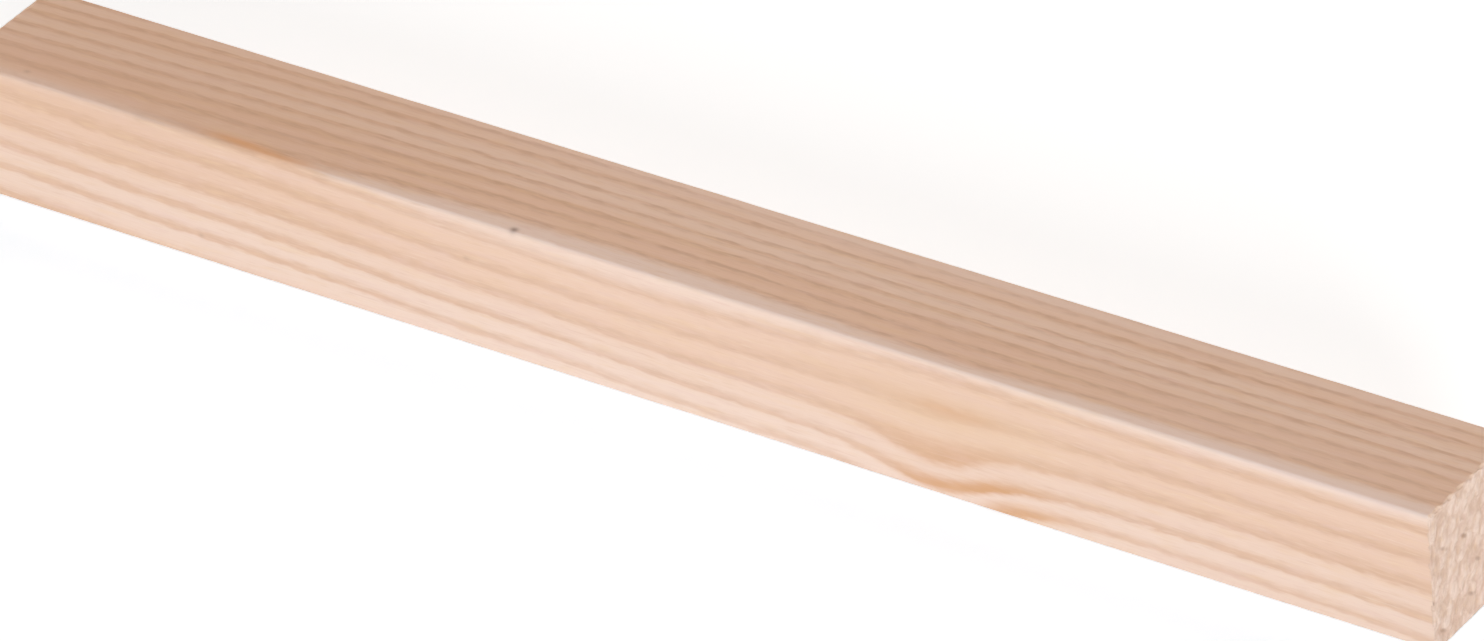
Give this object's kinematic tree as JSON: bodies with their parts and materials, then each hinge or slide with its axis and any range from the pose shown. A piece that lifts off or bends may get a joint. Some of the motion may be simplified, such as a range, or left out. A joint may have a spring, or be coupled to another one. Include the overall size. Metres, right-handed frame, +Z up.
{
  "type": "planed softwood timber plank",
  "caption": "Short square-section length of planed pale pine timber, with eased long edges and rough sawn ends, for framing and battens.",
  "frame": {"origin": "middle of the underside, on the surface that the timber lies on", "axes": "+X along the grain, +Y across the width from the front face to the back face, +Z up through the thickness"},
  "size_m": [0.5, 0.044, 0.044],
  "materials": {
    "planed_pine": "planed, unfinished, with sawn end grain"
  },
  "bodies": {
    "root": {"plank": "planed_pine"}
  },
  "joints": []
}
